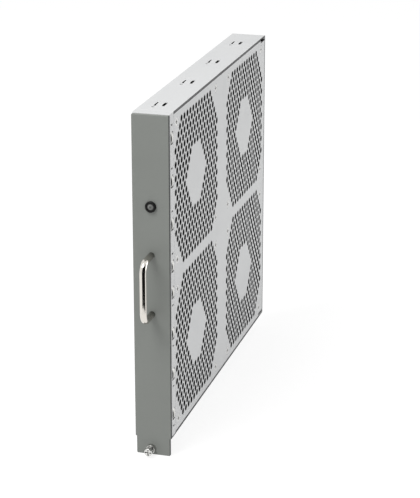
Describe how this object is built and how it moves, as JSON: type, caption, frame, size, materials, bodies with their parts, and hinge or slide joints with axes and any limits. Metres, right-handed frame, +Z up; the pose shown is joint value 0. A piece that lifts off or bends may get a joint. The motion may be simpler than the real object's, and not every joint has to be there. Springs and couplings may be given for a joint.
{
  "type": "fan module",
  "caption": "Slim upright plug-in fan module: perforated sheet-metal case with axial fans inside, grey front panel with indicator lamp, chrome bow handle and captive screw tab.",
  "frame": {"origin": "middle of the bottom face of the case, which slides on the chassis floor", "axes": "+X towards the perforated side seen in the picture, +Y from the front panel to the rear, +Z up"},
  "size_m": [0.0298, 0.306, 0.2668],
  "materials": {
    "light_sheet": "satin light grey finish on sheet steel",
    "frame_sheet": "satin, slightly warm light grey",
    "spring_steel": "plain spring steel",
    "panel_paint": "fine matt mid grey paint",
    "fastener_steel": "zinc plated",
    "handle_chrome": "polished chrome",
    "lamp_black": "black moulded plastic",
    "lamp_lens": "diffused lens, unlit",
    "ferrule_steel": "plated steel",
    "screw_steel": "bright plated steel",
    "circuit_board": "green laminate",
    "connector_plastic": "black moulded plastic",
    "contact_metal": "plated contacts",
    "impeller_plastic": "black moulded plastic",
    "fan_plastic": "black moulded plastic",
    "magnet": "bonded magnet ring in dark grey",
    "shaft_steel": "ground steel",
    "bearing_steel": "ground steel",
    "core_steel": "stacked laminations",
    "winding_copper": "enamelled copper wire"
  },
  "bodies": {
    "housing": {"perimeter_wrap": "light_sheet", "front_frame": "frame_sheet", "right_side_plate": "light_sheet", "left_side_plate": "light_sheet", "ground_springs": "spring_steel", "front_panel": "panel_paint", "panel_studs": "fastener_steel", "panel_nuts": "fastener_steel", "pull_handle": "handle_chrome", "handle_screws": "fastener_steel", "led_bezel": "lamp_black", "led_lamp": "lamp_lens", "led_collar": "lamp_black", "captive_ferrule": "ferrule_steel", "captive_spring": "spring_steel", "fan_screws": "fastener_steel", "connector_board": "circuit_board", "rear_connector": "connector_plastic", "connector_contacts": "contact_metal", "board_standoffs": "fastener_steel", "board_screws": "fastener_steel", "fan_frame_upper_front": "fan_plastic", "fan_bearings_upper_front": "bearing_steel", "stator_core_upper_front": "core_steel", "stator_coils_upper_front": "winding_copper", "motor_board_upper_front": "circuit_board", "fan_frame_upper_rear": "fan_plastic", "fan_bearings_upper_rear": "bearing_steel", "stator_core_upper_rear": "core_steel", "stator_coils_upper_rear": "winding_copper", "motor_board_upper_rear": "circuit_board", "fan_frame_lower_front": "fan_plastic", "fan_bearings_lower_front": "bearing_steel", "stator_core_lower_front": "core_steel", "stator_coils_lower_front": "winding_copper", "motor_board_lower_front": "circuit_board", "fan_frame_lower_rear": "fan_plastic", "fan_bearings_lower_rear": "bearing_steel", "stator_core_lower_rear": "core_steel", "stator_coils_lower_rear": "winding_copper", "motor_board_lower_rear": "circuit_board"},
    "captive_carrier": {"captive_clip": "spring_steel"},
    "captive_turner": {"captive_screw": "screw_steel"},
    "rotor_upper_front": {"impeller_upper_front": "impeller_plastic", "rotor_magnet_upper_front": "magnet", "rotor_shaft_upper_front": "shaft_steel"},
    "rotor_upper_rear": {"impeller_upper_rear": "impeller_plastic", "rotor_magnet_upper_rear": "magnet", "rotor_shaft_upper_rear": "shaft_steel"},
    "rotor_lower_front": {"impeller_lower_front": "impeller_plastic", "rotor_magnet_lower_front": "magnet", "rotor_shaft_lower_front": "shaft_steel"},
    "rotor_lower_rear": {"impeller_lower_rear": "impeller_plastic", "rotor_magnet_lower_rear": "magnet", "rotor_shaft_lower_rear": "shaft_steel"}
  },
  "joints": [
    {"name": "spin_upper_front", "type": "hinge", "parent": "housing", "child": "rotor_upper_front", "pos_m": [0, -0.0695, 0.19], "axis": [1, 0, 0], "continuous": true},
    {"name": "spin_upper_rear", "type": "hinge", "parent": "housing", "child": "rotor_upper_rear", "pos_m": [0, 0.072, 0.19], "axis": [1, 0, 0], "continuous": true},
    {"name": "spin_lower_front", "type": "hinge", "parent": "housing", "child": "rotor_lower_front", "pos_m": [0, -0.0695, 0.062], "axis": [1, 0, 0], "continuous": true},
    {"name": "spin_lower_rear", "type": "hinge", "parent": "housing", "child": "rotor_lower_rear", "pos_m": [0, 0.072, 0.062], "axis": [1, 0, 0], "continuous": true},
    {"name": "captive_push", "type": "slide", "parent": "housing", "child": "captive_carrier", "axis": [0, 1, 0], "range_m": [0, 0.0025], "stiffness_N_per_m": 250, "springref_m": -0.003, "deforming": ["captive_spring"]},
    {"name": "captive_turn", "type": "hinge", "parent": "captive_carrier", "child": "captive_turner", "pos_m": [-0.0016, -0.14, -0.0092], "axis": [0, 1, 0], "continuous": true}
  ]
}
